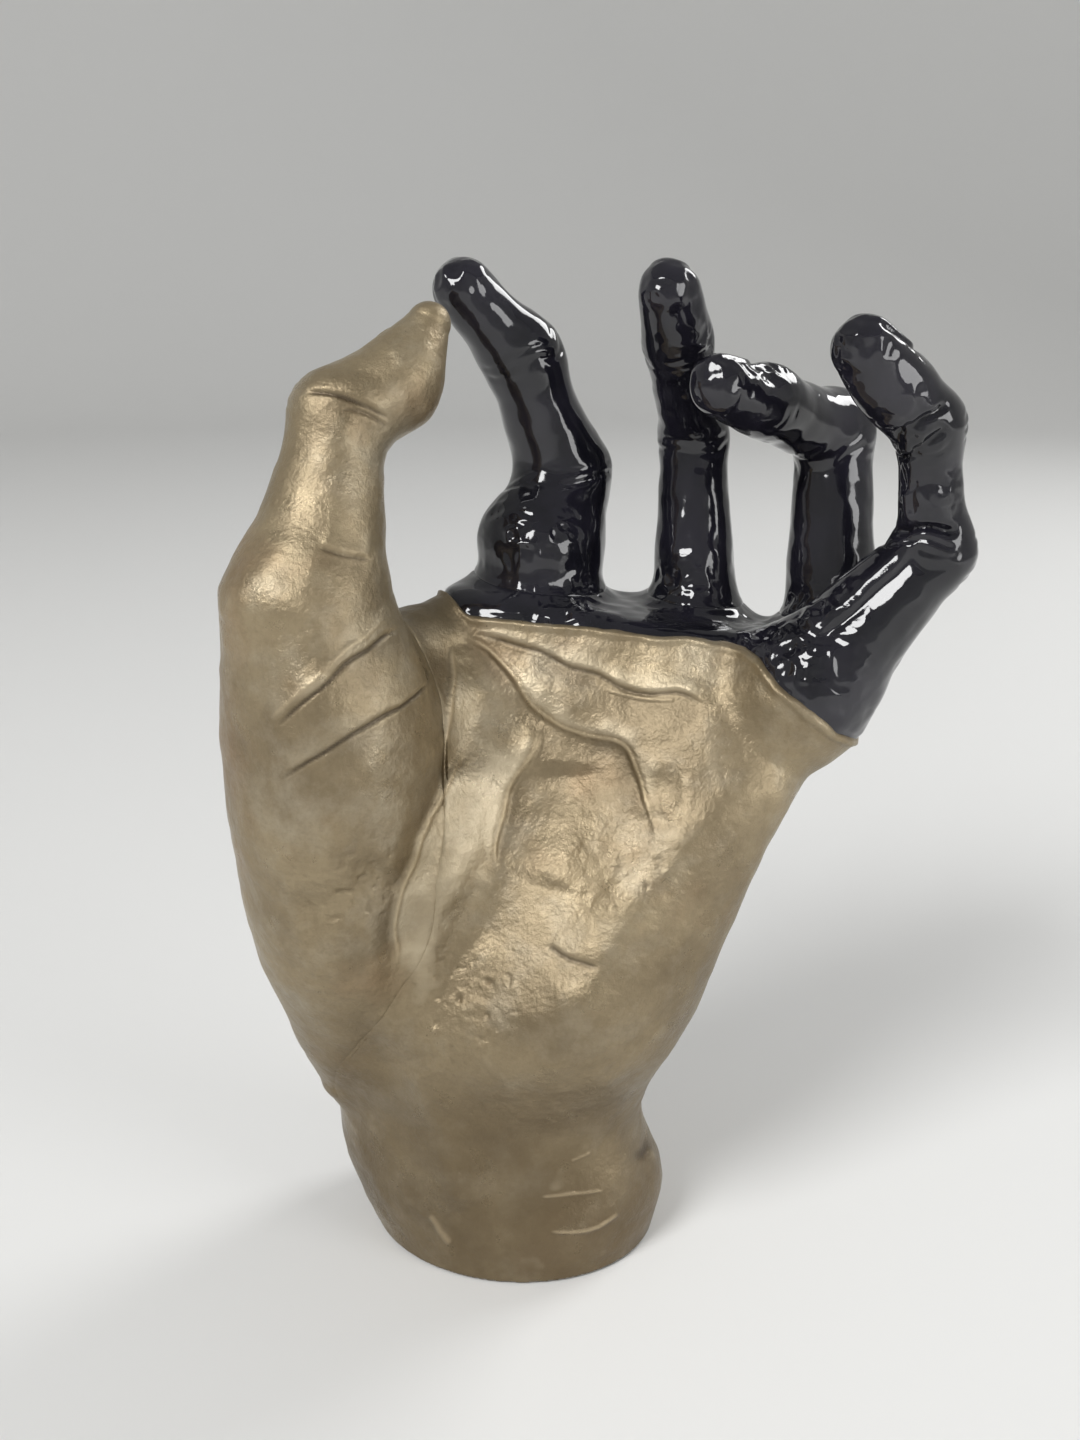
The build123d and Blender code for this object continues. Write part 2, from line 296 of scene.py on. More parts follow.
class Digit:
    """A finger or thumb as a chain of bones, with a girth at the root, middle and end of each.

    Each pad is a soft cushion: its place from the root and its radius. The folds are the
    numbers of the joints that have skin folds. The nail is its place along the last bone, as a
    share of that bone, and the radius of the digit there.
    """

    def __init__(self, root, lengths, headings, elevations, girths, pads=(), folds=(1, 2), nail=None):
        self.bones = [bone_direction(h, e) for h, e in zip(headings, elevations)]
        self.lengths = list(lengths)
        self.lengths[-1] -= girths[-1] / 2
        self.radii = np.array(girths) / 2
        self.folds = folds
        self.joints = [np.array(root, float)]
        for bone, length in zip(self.bones, self.lengths):
            self.joints.append(self.joints[-1] + bone * length)
        self.pads = [(self.joints[0] + place, radius) for place, radius in pads]
        self.palmar = []
        for number, bone in enumerate(self.bones):
            middle = (self.joints[number] + self.joints[number + 1]) / 2
            inward = BALL_CENTRE - middle
            self.palmar.append(unit(inward - bone * (inward @ bone)))
        share, self.nail_radius = nail or (1, self.radii[-1])
        self.nail_place = self.joints[-2] + share * (self.joints[-1] - self.joints[-2])
        self.low = np.min(self.joints, axis=0) - self.radii.max() - CLEAR
        self.high = np.max(self.joints, axis=0) + self.radii.max() + CLEAR

    def bone_distance(self, points, number):
        """Distance to one bone, whose girth follows a curve and swells on its soft side."""
        along = (points - self.joints[number]) @ self.bones[number]
        share = np.clip(along / self.lengths[number], 0, 1)
        nearest = self.joints[number] + np.outer(share * self.lengths[number], self.bones[number])
        offset = points - nearest
        reach = np.sqrt((offset ** 2).sum(1)) + 1e-4
        first, middle, last = self.radii[2 * number:2 * number + 3]
        radius = first * (1 - share) * (1 - 2 * share) + 4 * middle * share * (1 - share)
        radius = radius + last * share * (2 * share - 1)
        soft = np.clip(offset @ self.palmar[number] / reach, 0, 1)
        return reach - radius * (1 + PAD_SWELL * soft * np.sin(pi * share))

    def near_distance(self, points):
        """Distance to the bones and pads, blended into each other."""
        result = self.bone_distance(points, 0)
        for number in range(1, len(self.bones)):
            result = smooth_min(result, self.bone_distance(points, number), JOINT_REACH)
        for centre, radius in self.pads:
            pad = np.linalg.norm(points - centre, axis=1) - radius
            result = smooth_min(result, pad, 2 * JOINT_REACH)
        return result

    def distance(self, points):
        """Distance to the digit, worked out only for points in the box round it."""
        result = np.full(len(points), CLEAR, np.float32)
        near = ((points > self.low) & (points < self.high)).all(1)
        result[near] = self.near_distance(points[near])
        return result


DIGITS = {
    "index_finger": Digit(
        root=(4.5, 20, KNUCKLE_HEIGHT),
        lengths=(39.5, 27.5, 24.5),
        headings=(60, -156, -155),
        elevations=(71, 69, 47),
        girths=(25, 23, 19.5, 17, 16, 14, 12.5),
        pads=(((-1, 2, 24), 10.5),),
    ),
    "middle_finger": Digit(
        root=(40, 22, KNUCKLE_HEIGHT),
        lengths=(46, 25, 19.5),
        headings=(94, -111, -110),
        elevations=(77, 56, 52),
        girths=(20, 16.5, 13.5, 13, 13, 13, 12.5),
    ),
    "ring_finger": Digit(
        root=(68.5, 15, KNUCKLE_HEIGHT + 1),
        lengths=(47.5, 25.5, 19.5),
        headings=(92, -135, -140),
        elevations=(78, 18, 15),
        girths=(20, 17.5, 15.5, 14, 13.5, 13, 12),
    ),
    "little_finger": Digit(
        root=(60, -2, KNUCKLE_HEIGHT - 2),
        lengths=(38, 25.5, 28),
        headings=(-5, -135, -155),
        elevations=(51, 77, 42),
        girths=(26, 20, 14.5, 12, 12.5, 14, 12),
    ),
    "thumb": Digit(
        root=(-37, -5, HEEL_HEIGHT - THUMB_ROOT_DROP),
        lengths=(65.5, 44.2, 35.7, 12.6, 18.1),
        headings=(-77, -138, 55, 26, 36),
        elevations=(83.5, 84, 72, 24, 55),
        girths=(8, 34, 41, 40, 31, 22.5, 17.5, 17, 16, 13, 8.5),
        folds=(3,),
        nail=(0.35, 6.5),
    ),
}

# The slope from the ball of the thumb down to the palm, and the web above it
THUMB_WEB = Digit(
    root=(-26, -2, HEEL_HEIGHT - WEB_ROOT_DROP),
    lengths=(40.8, 52),
    headings=(-20, 100),
    elevations=(79, 77),
    girths=(28, 29, 29, 26, 16),
)
FINGERS = ("index_finger", "middle_finger", "ring_finger", "little_finger")
BRONZE_PIECES = ("palm_body", "thumb")
BORDER_PIECES = ("palm_body", "knuckle_bridge", "little_finger")
PIECES = BRONZE_PIECES + ("knuckle_bridge",) + FINGERS


def smooth_min(first, second, reach):
    """The lower of two distances, rounded where they are within reach of each other."""
    overlap = np.maximum(reach - np.abs(first - second), 0) / reach
    return np.minimum(first, second) - overlap ** 2 * (reach / 4)


def smooth_max(first, second, reach):
    """The higher of two distances, rounded in the same way."""
    return -smooth_min(-first, -second, reach)


def hill(distance, width):
    """1 at distance 0, fading to 0 over about twice the width."""
    return np.exp(-(distance / width) ** 2)


def fade(value, low, high):
    """0 below low, 1 above high and a smooth step between."""
    part = np.clip((value - low) / (high - low), 0, 1)
    return part * part * (3 - 2 * part)


def lattice_noise(points, size, seed):
    """Smooth noise from -1 to 1 with blobs of this size in mm, the same in every run."""
    table = np.random.RandomState(seed).uniform(-1, 1, NOISE_TABLE).astype(np.float32)
    scaled = points / size
    cell = np.floor(scaled).astype(np.int64)
    part = (scaled - cell).astype(np.float32)
    part = part * part * (3 - 2 * part)
    total = np.zeros(len(points), np.float32)
    for corner in range(8):
        step = np.array((corner & 1, corner >> 1 & 1, corner >> 2 & 1))
        key = (cell + step) @ NOISE_HASH
        weight = np.prod(np.where(step, part, 1 - part), axis=1)
        total += table[key % NOISE_TABLE] * weight
    return total


def layered_noise(layers, points):
    """The sum of layers of noise."""
    return sum(height * lattice_noise(points, size, seed) for height, size, seed in layers)


def level_values(height):
    """The palm's outline at each height, on a smooth curve through the levels."""
    heights = LEVELS[:, LEVEL_COLUMNS.index("z")]
    slopes = np.gradient(LEVELS, heights, axis=0).astype(np.float32)
    height = np.clip(height, heights[0], heights[-1])
    row = np.clip(np.searchsorted(heights, height) - 1, 0, len(heights) - 2)
    gap = heights[row + 1] - heights[row]
    part = ((height - heights[row]) / gap)[:, None]
    gap = gap[:, None]
    rest = 1 - part
    values = LEVELS[row] * (1 + 2 * part) * rest ** 2 + slopes[row] * gap * part * rest ** 2
    values += LEVELS[row + 1] * (3 - 2 * part) * part ** 2 - slopes[row + 1] * gap * rest * part ** 2
    return dict(zip(LEVEL_COLUMNS, values.T))


def level_distance(points):
    """Distance to the loft through the levels of wrist and palm."""
    x, y, z = points.T
    lift = 0
    # The levels are tilted, so the first round finds how far and the second the right level
    for _ in range(2):
        level = level_values(z + lift)
        yaw = np.radians(level["yaw"])
        across = (x - level["x"]) * np.cos(yaw) - (y - level["y"]) * np.sin(yaw)
        back = (x - level["x"]) * np.sin(yaw) + (y - level["y"]) * np.cos(yaw)
        lift = across * np.tan(np.radians(level["tilt"]))
    side = across / (level["width"] / 2)
    depth = back - level["cup"] * (0.5 - np.clip(side, -1, 1) ** 2)
    swelling = level["heel"] * hill(side - HEEL_PLACE, HEEL_SPREAD)
    half_depth = np.where(depth > 0, level["back"], level["front"] + swelling)
    power = 2 / level["roundness"]
    wide = np.abs(side) + 1e-3
    deep = np.abs(depth / half_depth) + 1e-3
    size = (wide ** power + deep ** power) ** (1 / power)
    wide_slope = (wide / size) ** (power - 1) / (level["width"] / 2)
    deep_slope = (deep / size) ** (power - 1) / half_depth
    outline = (size - 1) / np.hypot(wide_slope, deep_slope)
    return smooth_max(outline, z + lift - LEDGE_TOP, LEDGE_ROUNDING)


def border_distance(points):
    """Above 0 on the black side of the border and below 0 on the bronze side."""
    plane = (points - BORDER_POINT) @ unit(BORDER_SLOPE)
    plane = plane - BORDER_BEND * fade(-points[:, 0], *BORDER_BEND_SPAN)
    corner = smooth_max(plane, little_foot(points), BORDER_CORNER)
    return (corner + layered_noise(BORDER_WANDER, points)).astype(np.float32)


def little_foot(points):
    """Height above the plane that the little finger stands on."""
    little = DIGITS["little_finger"]
    return ((points - little.joints[0]) @ little.bones[0]).astype(np.float32)


def palm_mass(points):
    """Distance to wrist and palm with the knuckles and the thumb's web."""
    mass = level_distance(points)
    for name in FINGERS:
        digit = DIGITS[name]
        knuckle = np.linalg.norm(points - digit.joints[0], axis=1) - digit.radii[0] * KNUCKLE_SWELL
        mass = smooth_min(mass, knuckle, WEB_REACH)
    return smooth_min(mass, THUMB_WEB.distance(points), THUMB_REACH).astype(np.float32)


def skin_distance(points):
    """Distance to the whole hand, with the digits blended into the palm."""
    skin = np.empty(len(points), np.float32)
    for start in range(0, len(points), CHUNK):
        some = points[start:start + CHUNK]
        mass = palm_mass(some)
        near = mass
        for name, digit in DIGITS.items():
            reach = THUMB_REACH if name == "thumb" else WEB_REACH
            near = np.minimum(near, smooth_min(mass, digit.distance(some), reach))
        skin[start:start + CHUNK] = np.maximum(near, BASE_LIFT - some[:, 2])
    return skin


def owner_fields(points):
    """For each piece a field that is lowest where that piece is."""
    owners = np.empty((len(PIECES), len(points)), np.float32)
    for start in range(0, len(points), CHUNK):
        part = slice(start, start + CHUNK)
        some = points[part]
        mass = palm_mass(some)
        border = border_distance(some)
        fields = {name: digit.distance(some) for name, digit in DIGITS.items()}
        fields["palm_body"] = mass + SEAM_PUSH * np.maximum(border, 0)
        fields["knuckle_bridge"] = mass + SEAM_PUSH * np.maximum(-border, 0)
        fields["little_finger"] += SEAM_PUSH * np.maximum(-little_foot(some), 0)
        owners[:, part] = [fields[name] for name in PIECES]
    return owners


def piece_distances(points):
    """For each piece, the distance to the skin cut off at its seams with the other pieces."""
    skin = skin_distance(points)
    owners = owner_fields(points)
    cut = np.empty_like(owners)
    for number in range(len(PIECES)):
        others = np.delete(owners, number, axis=0).min(0)
        cut[number] = smooth_max(skin, (owners[number] - others) / 2 - SEAM_LAP, SEAM_ROUNDING)
    return cut


def box_of_places(counts):
    """Every place in a box of cells, as rows of three whole numbers."""
    return np.stack(np.meshgrid(*[np.arange(n) for n in counts], indexing="ij"), -1).reshape(-1, 3)


def mesh_pieces():
    """Vertices in mm and quads of every piece, worked out by voxel only near the surfaces."""
    low = np.array(cad_box[0]) / MM - GRID_MARGIN
    size = np.array(cad_box[1]) / MM + GRID_MARGIN - low
    block = VOXEL * BLOCK
    counts = np.ceil(size / block).astype(int)
    places = box_of_places(counts)
    coarse = piece_distances((low + (places + 0.5) * block).astype(np.float32))
    active = (np.abs(coarse) < BLOCK_REACH * block + SURFACE_MARGIN).any(0)
    steps = box_of_places((BLOCK, BLOCK, BLOCK))
    fine_places = (places[active][:, None, :] * BLOCK + steps).reshape(-1, 3)
    fine = piece_distances((low + (fine_places + 0.5) * VOXEL).astype(np.float32))
    result = {}
    for number, name in enumerate(PIECES):
        whole = coarse[number].reshape(counts)
        for axis in range(3):
            whole = np.repeat(whole, BLOCK, axis)
        whole[tuple(fine_places.T)] = fine[number]
        inside = np.argwhere(whole < 0)
        first = np.maximum(inside.min(0) - PIECE_MARGIN, 0)
        last = inside.max(0) + PIECE_MARGIN + 1
        part = np.ascontiguousarray(whole[first[0]:last[0], first[1]:last[1], first[2]:last[2]])
        grid = openvdb.FloatGrid(FAR)
        grid.copyFromArray(np.clip(part, -FAR, FAR))
        corners, quads = grid.convertToQuads(0.0)
        result[name] = (low + (corners + first + 0.5) * VOXEL, quads)
    return result


def skin_normals(points):
    """The skin's distance at each point and its outward direction, from how that distance grows."""
    here = skin_distance(points)
    slope = np.empty((len(points), 3), np.float32)
    for axis in range(3):
        move = np.zeros(3)
        move[axis] = NORMAL_STEP
        slope[:, axis] = skin_distance(points + move) - here
    return here, slope / (np.linalg.norm(slope, axis=1, keepdims=True) + 1e-6)


def photo_view(points):
    """Where points appear in the photograph, and how many mm one pixel covers there."""
    forward = np.array((0, cos(CAMERA_PITCH), -sin(CAMERA_PITCH)))
    upward = np.array((0, sin(CAMERA_PITCH), cos(CAMERA_PITCH)))
    away = points - CAMERA_PLACE
    depth = away @ forward
    right = PHOTO_WIDTH / 2 + FOCAL_PIXELS * away[:, 0] / depth
    down = PHOTO_HEIGHT / 2 - FOCAL_PIXELS * (away @ upward) / depth
    return np.stack((right, down), 1), depth / FOCAL_PIXELS


def facing_camera(points, normals):
    """1 where the skin is turned to the photograph's camera, 0 where it is turned away."""
    away = points - CAMERA_PLACE
    away = away / np.linalg.norm(away, axis=1, keepdims=True)
    return fade(-(away * normals).sum(1), *FACING)


def curve_through(stops, steps=6):
    """A smooth line through a few points, as many points."""
    stops = np.array(stops, float)
    padded = np.concatenate((2 * stops[:1] - stops[1:2], stops, 2 * stops[-1:] - stops[-2:-1]))
    line = []
    for before, first, second, after in zip(padded, padded[1:], padded[2:], padded[3:]):
        for part in np.arange(steps) / steps:
            slope = second - before
            bend = 2 * before - 5 * first + 4 * second - after
            twist = 3 * first - before - 3 * second + after
            line.append(first + (slope * part + bend * part ** 2 + twist * part ** 3) / 2)
    line.append(stops[-1])
    return np.array(line)


def distance_to_line(points, line):
    """Distance to a line of points, the share of the line at the nearest place, and its side."""
    best = np.full(len(points), 1e9)
    share = np.zeros(len(points))
    side = np.zeros(len(points))
    for number, (first, second) in enumerate(zip(line, line[1:])):
        run = second - first
        away = points - first
        part = np.clip(away @ run / (run @ run), 0, 1)
        gap = np.linalg.norm(away - part[:, None] * run, axis=1)
        closer = gap < best
        best = np.where(closer, gap, best)
        share = np.where(closer, (number + part) / (len(line) - 1), share)
        side = np.where(closer, np.sign(run[0] * away[:, 1] - run[1] * away[:, 0]), side)
    return best, share, side


def fold_relief(folds, points, normals):
    """The lines of folds that show in the photograph, thinner towards their ends, and their steps."""
    pixels, mm_per_pixel = photo_view(points)
    wander = [lattice_noise(points, FOLD_WANDER_SIZE, seed) for seed in FOLD_WANDER_SEEDS]
    pixels = pixels + FOLD_WANDER * np.stack(wander, 1)
    lines = np.zeros(len(points))
    steps = np.zeros(len(points))
    for stops, width, height, step in folds.values():
        line = curve_through(stops)
        margin = FOLD_MARGIN * max(width, STEP_REACH)
        near = ((pixels > line.min(0) - margin) & (pixels < line.max(0) + margin)).all(1)
        gap, share, side = distance_to_line(pixels[near], line)
        gap = gap * mm_per_pixel[near]
        ends = fade(share, 0, FOLD_TAPER) * fade(1 - share, 0, FOLD_TAPER)
        lines[near] += height * ends * hill(gap, width)
        steps[near] -= step * side * ends * (1 - hill(gap, STEP_EDGE)) * hill(gap, STEP_REACH)
    facing = facing_camera(points, normals)
    return lines * facing, steps * facing


def swelling_relief(points, normals):
    """The soft swellings of palm and thumb."""
    pixels, mm_per_pixel = photo_view(points)
    total = np.zeros(len(points))
    for place, radius, height in SWELLINGS:
        gap = np.linalg.norm(pixels - place, axis=1) * mm_per_pixel
        total += height * hill(gap, radius)
    return total * facing_camera(points, normals)


def patch_share(patches, points):
    """How far each point lies inside patches that are given by photograph pixel and radius in mm."""
    pixels, mm_per_pixel = photo_view(points)
    share = np.zeros(len(points))
    for place, radius in patches:
        gap = np.linalg.norm(pixels - place, axis=1) * mm_per_pixel
        share = np.maximum(share, hill(gap, radius))
    return share


def pit_relief(points, normals):
    """Small pits and grains where the casting is rough."""
    rough = patch_share(ROUGH_PATCHES, points) * facing_camera(points, normals)
    pits = -PIT_DEPTH * fade(lattice_noise(points, PIT_SIZE, PIT_SEED), *PIT_NOISE)
    return rough * (pits + layered_noise(ROUGH_GRAIN, points))


def tendon_relief(points, normals):
    """Tendons that fan out over the back of the hand, from the wrist to each knuckle."""
    total = np.zeros(len(points))
    for shift, name in zip(TENDON_SHIFTS, FINGERS):
        end = DIGITS[name].joints[0][[0, 2]] - (0, TENDON_END_DROP)
        line = curve_through((TENDON_WRIST + (shift, 0), TENDON_HALFWAY + (shift, 0), end))
        gap, share, _ = distance_to_line(points[:, [0, 2]], line)
        ends = fade(share, 0.05, 0.5) * fade(1 - share, 0, 0.1)
        total += TENDON_HEIGHT * hill(gap, TENDON_WIDTH) * ends
    return total * fade(normals[:, 1], 0.2, 0.6)


def joint_relief(digit, points):
    """Folds on the soft side of the joints, and fine wrinkles on their backs."""
    total = np.zeros(len(points))
    for number in digit.folds:
        axis = unit(digit.bones[number - 1] + digit.bones[number])
        soft = unit(digit.palmar[number - 1] + digit.palmar[number])
        radius = digit.radii[2 * number]
        away = points - digit.joints[number]
        along = away @ axis
        across = away - np.outer(along, axis)
        reach = np.linalg.norm(across, axis=1) + 1e-6
        inner = across @ soft / reach
        along = along + WRINKLE_STRAY * lattice_noise(points, WRINKLE_SIZE, WRINKLE_SEED + number)
        patchy = fade(lattice_noise(points, WRINKLE_SIZE, WRINKLE_GAP_SEED + number), -0.6, 0.3)
        near = 1 - fade(reach, 1.4 * radius, 1.9 * radius)
        on_soft_side = near * patchy * fade(inner, 0, 0.6)
        on_back = near * patchy * fade(-inner, 0.2, 0.7)
        for place, depth in SOFT_FOLDS:
            total -= on_soft_side * depth * hill(along - place, SOFT_FOLD_WIDTH)
        for place in BACK_WRINKLES:
            total -= on_back * BACK_WRINKLE_DEPTH * hill(along - place, BACK_WRINKLE_WIDTH)
    return total


def nail_relief(digit, points, normals):
    """A raised nail on the back of the last bone, with a groove round all but its free edge."""
    bone = digit.bones[-1]
    back = -digit.palmar[-1]
    side = np.cross(bone, back)
    radius = digit.nail_radius
    away = points - digit.nail_place
    half_width = NAIL_HALF_WIDTH * radius
    half_length = NAIL_HALF_LENGTH * radius
    along = away @ bone + NAIL_SHIFT * radius
    wide = np.abs(away @ side) / half_width
    long = np.abs(along) / half_length
    edge = ((wide ** 3 + long ** 3) ** (1 / 3) - 1) * half_width
    plate = NAIL_HEIGHT * fade(-edge, -0.1, 0.6)
    free_edge = fade(along, 0.3 * half_length, 0.9 * half_length)
    groove = -NAIL_GROOVE_DEPTH * hill(edge - 0.1, NAIL_GROOVE_WIDTH) * (1 - free_edge)
    return (plate + groove) * fade(normals @ back, 0.1, 0.4) * fade(away @ back, 0, 1)


def glaze_relief(points, normals):
    """Ripples all over the glaze, and crumpled patches where it ran."""
    crumple = np.zeros(len(points), np.float32)
    for crest, fall, size, seed in CRUMPLES:
        crumple += crest - fall * np.abs(lattice_noise(points, size, seed))
    crumple = crumple * patch_share(CRUMPLED_PATCHES, points) * facing_camera(points, normals)
    return CRUMPLE_HEIGHT * crumple + layered_noise(GLAZE_RIPPLES, points)


def lip_relief(name, points):
    """The bronze bead along the border, and the dip of the glaze beside it."""
    border = border_distance(points)
    if name == "palm_body":
        return LIP_HEIGHT * hill(border + LIP_OFFSET, LIP_WIDTH)
    return -DIP_DEPTH * hill(border - DIP_OFFSET, DIP_WIDTH)


def relief(name, points, normals):
    """How far each point of a piece moves outwards, the lines of its folds, and its wear with the strip's
    painted light.
    """
    form = layered_noise(SKIN_WAVES, points)
    lines = np.zeros(len(points))
    wear_and_strip_light = np.zeros(len(points))
    if name in BRONZE_PIECES:
        lines, steps = fold_relief(PALM_FOLDS, points, normals)
        valleys, _ = fold_relief(PALM_VALLEYS, points, normals)
        strips, _ = fold_relief(PALM_STRIPS, points, normals)
        # wear, and on the strip beside the thumb painted light that lightens its colour
        wear_and_strip_light = steps + STRIP_PAINTED_LIGHT * strips + layered_noise(BRONZE_GRAIN, points) + pit_relief(points, normals)
        form += wear_and_strip_light + (1 - STRIP_PAINTED_LIGHT) * strips + valleys + swelling_relief(points, normals)
    else:
        form += glaze_relief(points, normals)
    if name == "little_finger":
        lines, steps = fold_relief(LITTLE_FOLDS, points, normals)
        form += steps
    if name in DIGITS:
        digit = DIGITS[name]
        lines = lines + joint_relief(digit, points) * (THUMB_WRINKLES if name == "thumb" else 1)
        form += nail_relief(digit, points, normals)
    else:
        form += tendon_relief(points, normals)
    if name in BORDER_PIECES:
        form += lip_relief(name, points)
    return lines + form, lines, wear_and_strip_light


def skin_piece(name, corners, quads):
    """One piece of the hand as a closed mesh, with its creases, and its wear with the strip's painted light,
    kept as attributes.
    """
    depth, normals = skin_normals(corners)
    height, lines, wear_and_strip_light = relief(name, corners, normals)
    on_skin = fade(depth, -SKIN_DEPTH, -SKIN_DEPTH / 2) * fade(corners[:, 2], *BASE_FADE)
    corners = corners + normals * (height * on_skin)[:, None]
    mesh = bpy.data.meshes.new(name)
    mesh.from_pydata(corners * MM, [], quads)
    for label, values in (("lines", lines), ("wear_and_strip_light", wear_and_strip_light)):
        attribute = mesh.attributes.new(label, "FLOAT", "POINT")
        attribute.data.foreach_set("value", values.astype(np.float32))
    mesh.shade_smooth()
    mesh.set_sharp_from_angle(angle=SHARP_ANGLE)
    piece = bpy.data.objects.new("skin_" + name, mesh)
    bpy.context.scene.collection.objects.link(piece)
    return piece


class Nodes:
    """Short calls for the node tree of one material."""

    def __init__(self, name):
        self.material = bpy.data.materials.new(name)
        self.material.use_nodes = True
        self.tree = self.material.node_tree
        self.shader = self.tree.nodes["Principled BSDF"]
        self.place = self.add("ShaderNodeTexCoord").outputs["Object"]

    def add(self, kind, **settings):
        """A new node."""
        node = self.tree.nodes.new(kind)
        for key, value in settings.items():
            setattr(node, key, value)
        return node

    def link(self, source, target):
        """A link from an output to an input."""
        self.tree.links.new(source, target)

    def noise(self, size_mm, detail=4, roughness=0.6):
        """Noise with blobs of this size."""
        node = self.add("ShaderNodeTexNoise")
        node.inputs["Scale"].default_value = 1 / (size_mm * MM)
        node.inputs["Detail"].default_value = detail
        node.inputs["Roughness"].default_value = roughness
        self.link(self.place, node.inputs["Vector"])
        return node.outputs["Fac"]

    def height(self):
        """Height above the floor, in metres."""
        split = self.add("ShaderNodeSeparateXYZ")
        self.link(self.place, split.inputs["Vector"])
        return split.outputs["Z"]

    def product(self, first, second):
        """Two values multiplied."""
        node = self.add("ShaderNodeMath", operation="MULTIPLY")
        self.link(first, node.inputs[0])
        self.link(second, node.inputs[1])
        return node.outputs["Value"]

    def attribute(self, name):
        """A value that the mesh carries."""
        return self.add("ShaderNodeAttribute", attribute_name=name).outputs["Fac"]

    def remap(self, source, low, high, to_low=0.0, to_high=1.0):
        """A value from low to high, turned into one from to_low to to_high."""
        node = self.add("ShaderNodeMapRange")
        self.link(source, node.inputs["Value"])
        for key, value in zip(("From Min", "From Max", "To Min", "To Max"), (low, high, to_low, to_high)):
            node.inputs[key].default_value = value
        return node.outputs["Result"]

    def mix(self, share, first, second):
        """A share of the second colour over the first; each is a colour or an output."""
        node = self.add("ShaderNodeMix", data_type="RGBA")
        self.link(share, node.inputs["Factor"])
        for socket, value in ((node.inputs[6], first), (node.inputs[7], second)):
            if isinstance(value, tuple):
                socket.default_value = (*value, 1)
            else:
                self.link(value, socket)
        return node.outputs[2]

    def bump(self, height, depth_mm, strength=1.0):
        """Fine grain of this depth on the surface."""
        node = self.add("ShaderNodeBump")
        node.inputs["Distance"].default_value = depth_mm * MM
        node.inputs["Strength"].default_value = strength
        self.link(height, node.inputs["Height"])
        self.link(node.outputs["Normal"], self.shader.inputs["Normal"])


def bronze_material():
    """Brown-gold patina, darker at the wrist, with grey and copper patches, raised parts rubbed lighter,
    painted light on the strip beside the thumb and painted highlights on the fold edges.
    """
    nodes = Nodes("bronze_patina")
    brown = (0.16, 0.12, 0.068)
    gold = (0.33, 0.262, 0.16)
    grey = (0.4, 0.345, 0.25)
    copper = (0.3, 0.18, 0.09)
    wrist_brown = (0.12, 0.085, 0.043)
    rubbed_gold_and_strip_light = (0.6, 0.51, 0.36)
    hollow_brown = (0.1, 0.07, 0.036)
    edge_highlight_gold = (0.6, 0.48, 0.31)
    crease_brown = (0.07, 0.05, 0.03)
    palm_height = 0.085
    wrist_height = 0.02
    colour = nodes.mix(nodes.remap(nodes.noise(26), 0.25, 0.6), brown, gold)
    colour = nodes.mix(nodes.remap(nodes.noise(15, 6, 0.65), 0.48, 0.72, 0, 0.7), colour, grey)
    colour = nodes.mix(nodes.remap(nodes.noise(38, 3), 0.56, 0.72, 0, 0.4), colour, copper)
    colour = nodes.mix(nodes.remap(nodes.noise(1.2, 4, 0.7), 0.42, 0.7, 0, 0.3), colour, brown)
    low = nodes.remap(nodes.height(), palm_height, wrist_height)
    patchy = nodes.remap(nodes.noise(20), 0.3, 0.6, 0.4, 0.8)
    colour = nodes.mix(nodes.product(low, patchy), colour, wrist_brown)
    wear_and_strip_light = nodes.attribute("wear_and_strip_light")
    # raised parts rubbed lighter, and painted light on the strip beside the thumb
    colour = nodes.mix(nodes.remap(wear_and_strip_light, 0.15, 0.65, 0, 0.7), colour, rubbed_gold_and_strip_light)
    colour = nodes.mix(nodes.remap(wear_and_strip_light, -0.05, -0.9, 0, 0.7), colour, hollow_brown)
    lines = nodes.attribute("lines")
    # painted highlight: lighter gold on the raised fold lines, where they catch the light
    colour = nodes.mix(nodes.remap(lines, 0.08, 0.35, 0, 0.5), colour, edge_highlight_gold)
    colour = nodes.mix(nodes.remap(lines, -0.12, -0.5, 0, 0.8), colour, crease_brown)
    nodes.link(colour, nodes.shader.inputs["Base Color"])
    nodes.shader.inputs["Metallic"].default_value = 0.55
    nodes.link(nodes.remap(nodes.noise(9, 5), 0.3, 0.7, 0.24, 0.42), nodes.shader.inputs["Roughness"])
    nodes.bump(nodes.noise(1.4, 6, 0.65), 0.26)
    return nodes.material


def black_material():
    """Deep black glaze, very glossy, with a faint violet cast and slight ripples."""
    nodes = Nodes("black_glaze")
    black = (0.006, 0.006, 0.009)
    violet = (0.014, 0.013, 0.02)
    colour = nodes.mix(nodes.remap(nodes.noise(18), 0.4, 0.65), black, violet)
    nodes.link(colour, nodes.shader.inputs["Base Color"])
    nodes.link(nodes.remap(nodes.noise(8, 3), 0.3, 0.7, 0.04, 0.12), nodes.shader.inputs["Roughness"])
    nodes.shader.inputs["IOR"].default_value = 1.5
    nodes.shader.inputs["Coat Weight"].default_value = 0.25
    nodes.shader.inputs["Coat Roughness"].default_value = 0.03
    nodes.bump(nodes.noise(5, 3), 0.15, 0.5)
    return nodes.material


def fine_material(name, colour, other, size_mm, roughness, metallic, depth_mm):
    """Steel, rubber or felt: two close tones in fine grain."""
    nodes = Nodes(name)
    mixed = nodes.mix(nodes.remap(nodes.noise(size_mm), 0.35, 0.65), colour, other)
    nodes.link(mixed, nodes.shader.inputs["Base Color"])
    nodes.shader.inputs["Roughness"].default_value = roughness
    nodes.shader.inputs["Metallic"].default_value = metallic
    nodes.bump(nodes.noise(size_mm, 6), depth_mm)
    return nodes.material


